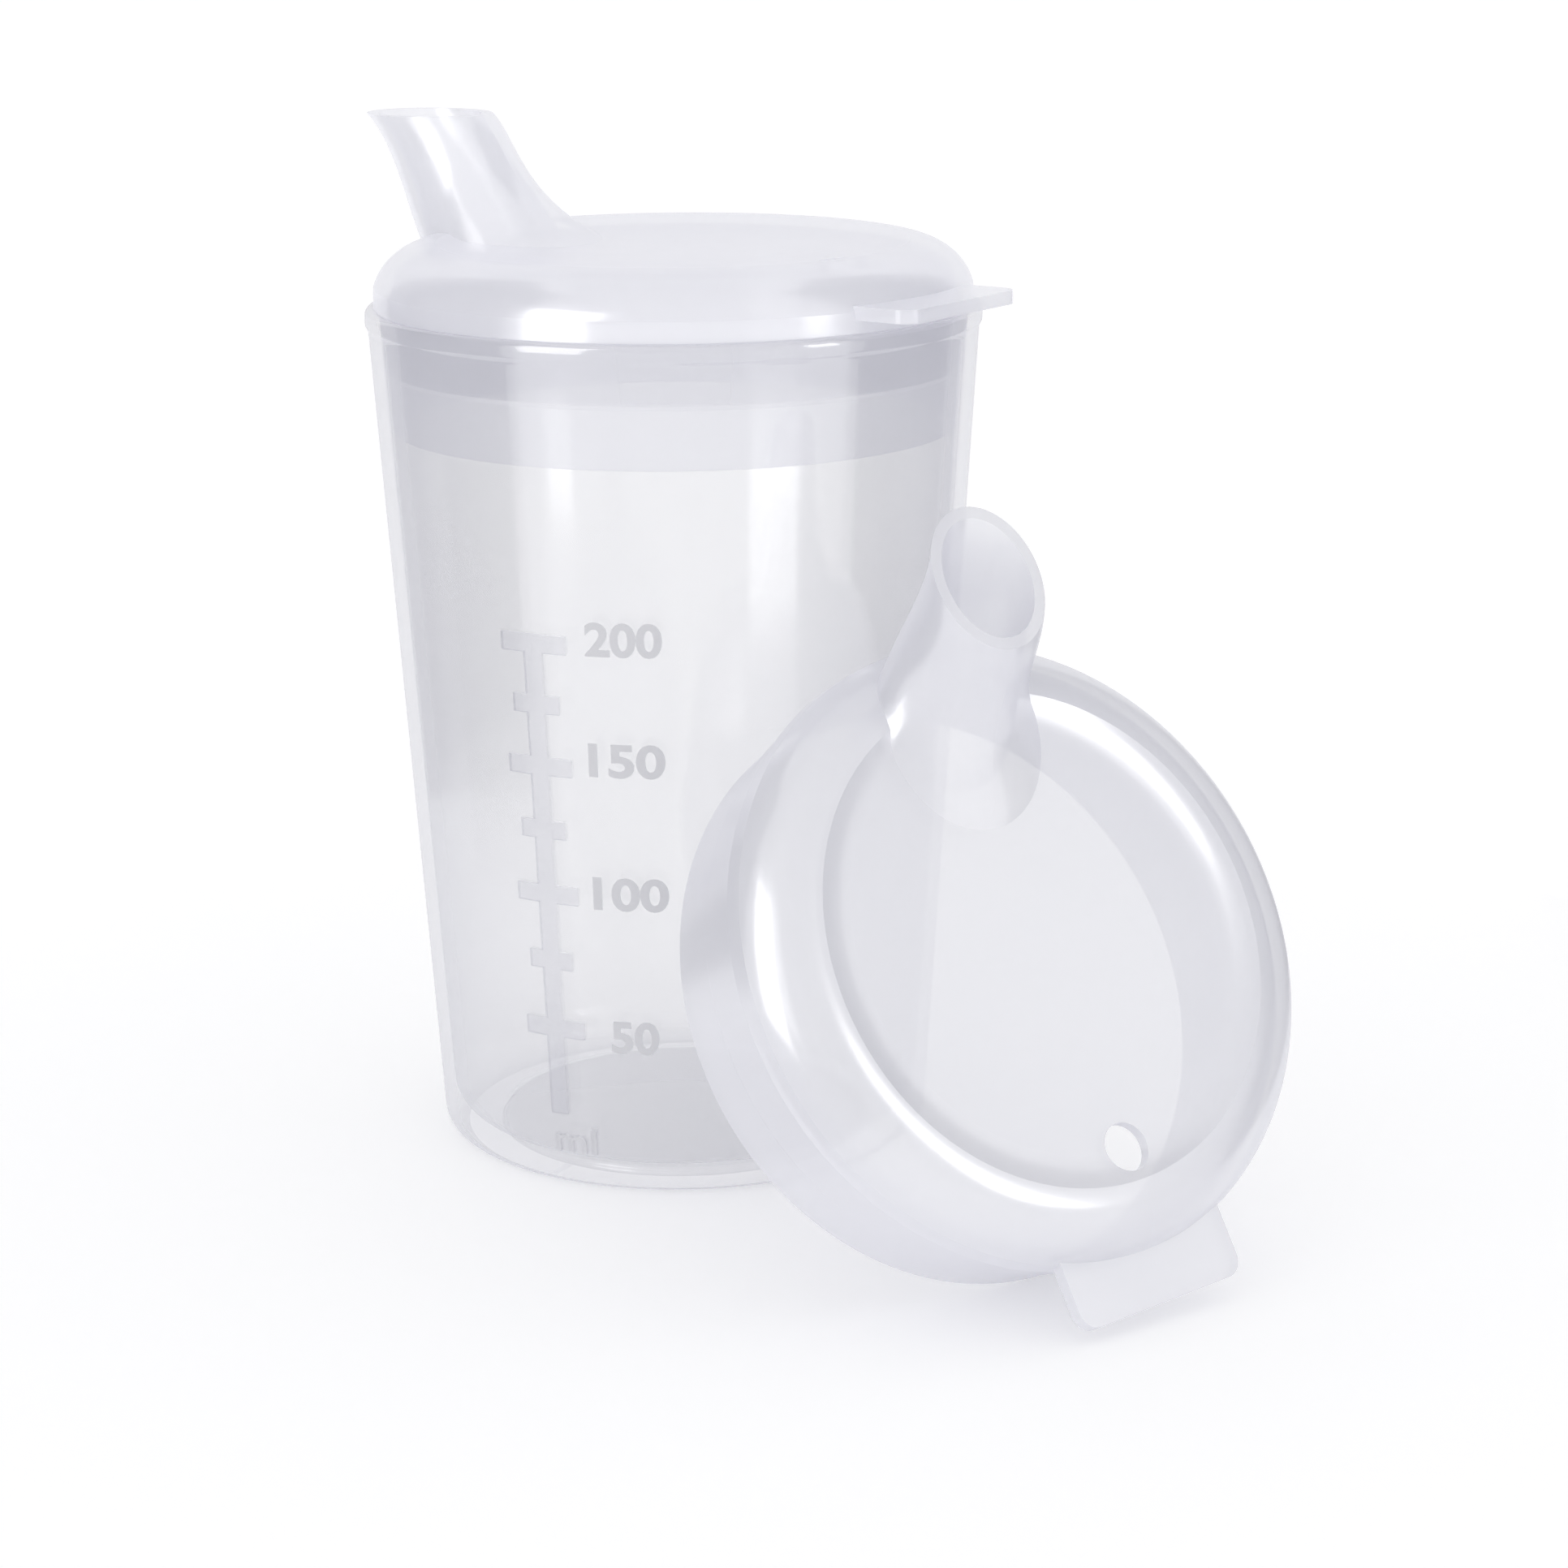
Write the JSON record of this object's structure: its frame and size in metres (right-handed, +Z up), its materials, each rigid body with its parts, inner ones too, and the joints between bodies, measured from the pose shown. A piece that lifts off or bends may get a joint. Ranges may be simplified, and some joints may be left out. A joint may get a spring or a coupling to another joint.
{
  "type": "sippy cup",
  "caption": "Translucent graduated feeding beaker with a push-in spouted lid and a spare lid of the same form leaning against it.",
  "frame": {"origin": "middle of the beaker's foot ring, on the surface that it stands on", "axes": "+Z up the beaker's axis; -X towards the fitted lid's spout; +X towards its finger tab; the measuring scale faces -Y"},
  "size_m": [0.1344, 0.0932, 0.1245],
  "materials": {
    "clear_plastic": "translucent natural polypropylene, moulded gloss",
    "printed_ink": "thin grey printed numerals"
  },
  "bodies": {
    "beaker": {"beaker": "clear_plastic"},
    "fitted_lid": {"spouted_lid": "clear_plastic"},
    "spare_lid": {"spare_spouted_lid": "clear_plastic"}
  },
  "joints": [
    {"name": "lid_lift", "type": "slide", "parent": "beaker", "child": "fitted_lid", "axis": [0, 0, 1], "range_m": [0, 0.06]},
    {"name": "spare_lid_away", "type": "slide", "parent": "beaker", "child": "spare_lid", "axis": [0.9478, -0.319, 0], "range_m": [0, 0.06]}
  ]
}
